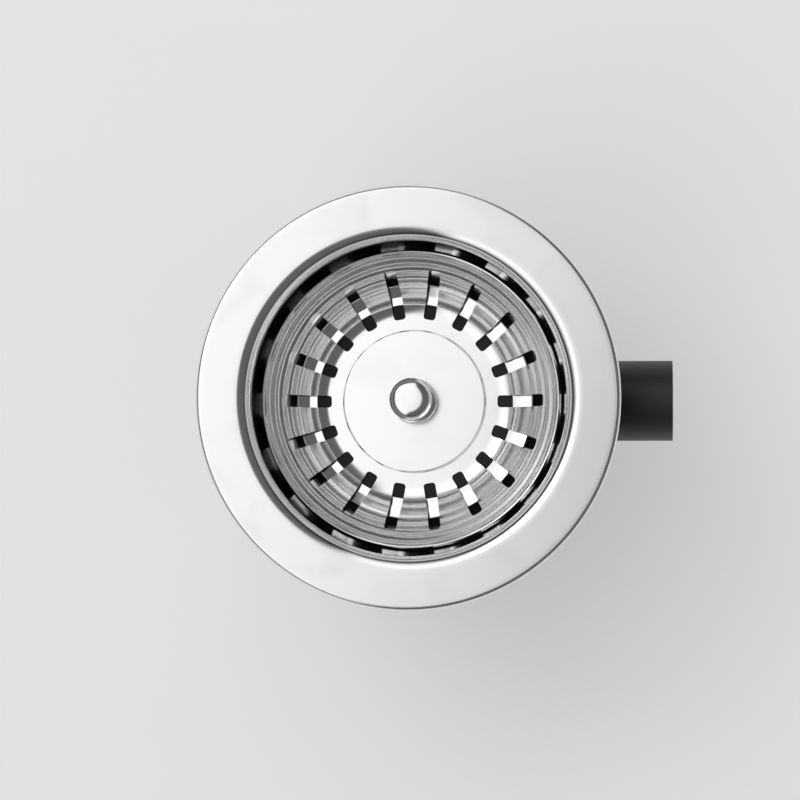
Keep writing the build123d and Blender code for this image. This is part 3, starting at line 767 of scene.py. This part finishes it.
@dataclass(frozen=True)
class StrainerBowl:
    """Flange, bowl and drain well, pressed from one sheet. Sizes are in millimetres."""

    sheet: float = 1.0
    flange_r: float = 57.0
    flange_z: float = 2.5
    edge_z: float = 0.3
    wall_top_r: float = 42.6
    cone_head: tuple[float, float] = (41.0, -25.0)
    cone_foot: tuple[float, float] = (32.5, -34.5)
    seat_r: float = 29.4
    seat_z: float = -35.2
    well_r: float = 21.8
    well_floor_r: float = 20.8
    well_z: float = -43.5
    screw_hole_r: float = 7.05
    bends: tuple[float, ...] = (1.2, 3.7, 3.0, 1.5, 2.0, 1.6, 1.6)
    drain_r: float = 4.3
    drain_pitch_r: float = 15.4
    drain_count: int = 6
    drain_steps: int = 48
    segments: int = 240

    def build(self, rack: FinishRack) -> None:
        """Turns the bowl, drills the well and dresses the gaskets."""
        path = rounded_path(
            [
                (self.flange_r, self.edge_z),
                (self.flange_r, self.flange_z),
                (self.wall_top_r, self.flange_z),
                self.cone_head,
                self.cone_foot,
                (self.seat_r, self.seat_z),
                (self.well_r, self.seat_z),
                (self.well_floor_r, self.well_z),
                (self.screw_hole_r, self.well_z),
            ],
            self.bends,
            run_step=1.2,
            arc_step=radians(4),
        )
        points, faces = lathe(sheet_section(path, self.sheet, Side.LEFT), self.segments)
        bowl = mesh_object("bowl", points, faces.tolist())
        circle = np.linspace(0, 2 * pi, self.drain_steps, endpoint=False)
        drain = self.drain_r * np.stack([np.cos(circle), np.sin(circle)], axis=1)
        drain += np.array([self.drain_pitch_r, 0])
        turns = np.arange(self.drain_count) * 2 * pi / self.drain_count
        low, high = self.well_z - 2 * self.sheet, self.well_z + self.sheet
        cut_away(bowl, [turned(drain, turn) for turn in turns], low, high)
        rack.stand_in(bowl, "strainer_bowl", Body.WASTE)
        rack.dress("flange_gasket", "clamp_gasket", "clamp_screw", "boss_insert")


@dataclass(frozen=True)
class StrainerBasket:
    """Slotted basket with pressed rings, its plate and its seal. Sizes are in millimetres."""

    sheet: float = 0.6
    hole_r: float = 2.55
    floor_r: float = 27.6
    floor_z: float = -31.9
    floor_bend: float = 7.0
    plain_wall: float = 3.6
    ring_count: int = 4
    ring_tilt: float = radians(8)
    ring_bend: float = 4.0
    lip_foot: tuple[float, float] = (39.35, -13.6)
    lip_bend: float = 1.0
    rim: tuple[float, float] = (39.7, -11.9)
    slot_count: int = 18
    slot_inner_r: float = 22.9
    slot_run: float = 12.9
    slot_width: float = 3.3
    slot_corner: float = 0.9
    segments: int = 288

    def build(self, rack: FinishRack) -> None:
        """Presses the basket, cuts its slots and dresses what is clamped to it."""
        path = rounded_path(
            [(self.hole_r, self.floor_z), (self.floor_r, self.floor_z), *self.ring_points(), self.rim],
            (self.floor_bend, *[self.ring_bend] * (2 * self.ring_count), self.lip_bend),
            run_step=0.9,
            arc_step=radians(3),
        )
        points, faces = lathe(sheet_section(path, self.sheet, Side.RIGHT), self.segments)
        basket = mesh_object("basket", points, faces.tolist())
        slot = rounded_rectangle(self.slot_run, self.slot_width, self.slot_corner)
        slot = slot + np.array([self.slot_inner_r + self.slot_run / 2, 0])
        turns = np.arange(self.slot_count) * 2 * pi / self.slot_count
        low, high = self.floor_z - 2 * self.sheet, self.rim[1] + self.sheet
        cut_away(basket, [turned(slot, turn) for turn in turns], low, high)
        rack.stand_in(basket, "strainer_basket", Body.BASKET)
        rack.dress("centre_plate", "basket_seal", "seal_plate")

    def ring_points(self) -> list[np.ndarray]:
        """Corners of the wall: its slope swings by the ring tilt to both sides of the mean slope."""
        foot, head = np.array([self.floor_r, self.floor_z]), np.array(self.lip_foot)
        way = (head - foot) / np.linalg.norm(head - foot)
        start = foot + way * self.plain_wall / way[0]
        pitch = np.linalg.norm(head - start) / self.ring_count
        hollow = np.array([way[1], -way[0]]) * pitch / 2 * np.tan(self.ring_tilt)
        halves = np.arange(2 * self.ring_count + 1)[:, None]
        return list(start + way * pitch * halves / 2 + hollow * (halves % 2))


@dataclass(frozen=True)
class PullKnob:
    """Turned knob with the stud that clamps the basket. Sizes are in millimetres."""

    stud_r: float = 2.5
    stud_end_z: float = -44.9
    plate_z: float = -31.1
    base_r: float = 6.3
    base_h: float = 1.4
    neck_r: float = 3.7
    head_r: float = 5.9
    head_h: float = 4.2
    flare_h: float = 3.0
    edge_bend: float = 0.5
    neck_bend: float = 2.0
    shoulder: float = 2.6
    dome: float = 0.1
    height: float = 21.0
    segments: int = 128

    def build(self, rack: FinishRack) -> None:
        """Turns the knob and dresses the stem under it.

        The head is drawn flat, then raised by dome * (1 - (r / head_r)^2).
        """
        edge = self.plate_z + self.height - self.dome
        head = edge - self.head_h
        base = self.plate_z + self.base_h
        path = rounded_path(
            [
                (self.stud_r, self.plate_z),
                (self.base_r, self.plate_z),
                (self.base_r, base),
                (self.neck_r, base),
                (self.neck_r, head - self.flare_h),
                (self.head_r, head),
                (self.head_r, edge),
                (0.0, edge),
            ],
            (0.0, self.edge_bend, self.neck_bend, self.neck_bend, self.edge_bend, self.shoulder),
            run_step=0.5,
            arc_step=radians(5),
        )
        rise = self.dome * (1 - (path[:, 0] / self.head_r) ** 2)
        path[:, 1] += np.where(path[:, 1] > head, rise, 0)
        stud = np.array([[0.0, self.stud_end_z], [self.stud_r, self.stud_end_z]])
        points, faces = lathe(np.concatenate([stud, path]), self.segments)
        rack.stand_in(mesh_object("knob", points, faces.tolist()), "pull_knob", Body.BASKET)
        rack.dress("lift_stem", "lift_pin", "lift_pin_nut")


@dataclass(frozen=True)
class Thread:
    """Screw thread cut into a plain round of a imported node. Sizes are in millimetres."""

    node: str
    along: Axis
    centre: tuple[float, float]
    crest_r: float
    depth: float
    pitch: float
    start: float
    end: float
    slack: float = 0.02
    segments: int = 144
    rows_per_turn: int = 16

    def surface(self) -> tuple[np.ndarray, np.ndarray]:
        """Thread as a grid of angle and length.

        The radius is the crest less the depth times a raised cosine of (length / pitch - turns), and
        the depth fades to nothing over one pitch at each end.

        Returns:
            Vertices in metres and quads that face away from the axis.
        """
        rows = int(np.ceil((self.end - self.start) / self.pitch * self.rows_per_turn)) + 1
        length = np.linspace(self.start, self.end, rows)[:, None]
        turns = np.arange(self.segments)[None, :] / self.segments
        fade = np.clip(np.minimum(length - self.start, self.end - length) / self.pitch, 0, 1)
        wave = 0.5 - 0.5 * np.cos(2 * pi * (length / self.pitch - turns))
        radius = self.crest_r - self.depth * fade * wave
        across = self.centre[0] + radius * np.cos(2 * pi * turns)
        up = self.centre[1] + radius * np.sin(2 * pi * turns)
        points = np.stack([across, up, np.broadcast_to(length, radius.shape)], axis=2)
        if self.along is Axis.X:
            points = points[:, :, [2, 0, 1]]
        index = np.arange(rows * self.segments).reshape(rows, self.segments)
        ahead = np.roll(index, -1, axis=1)
        quads = np.stack([index[:-1], ahead[:-1], ahead[1:], index[1:]], axis=2)
        return points.reshape(-1, 3) * MM, quads.reshape(-1, 4)

    def build(self, rack: FinishRack, body: Body) -> None:
        """Puts the thread in the place of the node's plain round."""
        points, triangles = node_triangles(frame["nodes"][self.node])
        order = [1, 2, 0] if self.along is Axis.X else [0, 1, 2]
        local = points[:, order] / MM
        reach = np.hypot(local[:, 0] - self.centre[0], local[:, 1] - self.centre[1])
        round_points = (
            (abs(reach - self.crest_r) < self.slack)
            & (local[:, 2] > self.start - self.slack)
            & (local[:, 2] < self.end + self.slack)
        )
        kept = triangles[~round_points[triangles].all(axis=1)]
        more, quads = self.surface()
        faces = kept.tolist() + (quads + len(points)).tolist()
        item = mesh_object("threaded_" + self.node, np.concatenate([points, more]), faces)
        rack.stand_in(item, self.node, body)


@dataclass(frozen=True)
class WasteBody:
    """Moulded body with its outlet thread."""

    outlet_thread: Thread = Thread(
        node="waste_body",
        along=Axis.Z,
        centre=(0.0, 0.0),
        crest_r=23.9,
        depth=1.48,
        pitch=2.309,
        start=-103.0,
        end=-83.82,
    )

    def build(self, rack: FinishRack) -> None:
        """Cuts the outlet thread."""
        self.outlet_thread.build(rack, Body.WASTE)


@dataclass(frozen=True)
class Actuator:
    """Spindle, finger and crank, and the housing with its cable gland."""

    gland_thread: Thread = Thread(
        node="cable_gland",
        along=Axis.X,
        centre=(42.15, -88.586),
        crest_r=3.0,
        depth=0.42,
        pitch=0.75,
        start=5.2,
        end=16.2,
        segments=64,
    )

    def build(self, rack: FinishRack) -> None:
        """Cuts the gland's thread and dresses the rest."""
        self.gland_thread.build(rack, Body.WASTE)
        rack.dress("spindle", "lift_finger", "finger_pin", "spindle_bush", "spindle_seals")
        rack.dress("crank_arm", "crank_screw", "actuator_housing", "housing_nut")
        rack.dress("actuator_cover", "cover_screws", "gland_nut")


def main() -> None:
    """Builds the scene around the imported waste."""
    logging.basicConfig(level=logging.INFO)
    bpy.context.scene.view_settings.view_transform = "Standard"
    rack = FinishRack()
    for assembly in (StrainerBowl(), StrainerBasket(), PullKnob(), WasteBody(), Actuator()):
        assembly.build(rack)
    Studio().build()


if __name__ == "__main__":
    main()
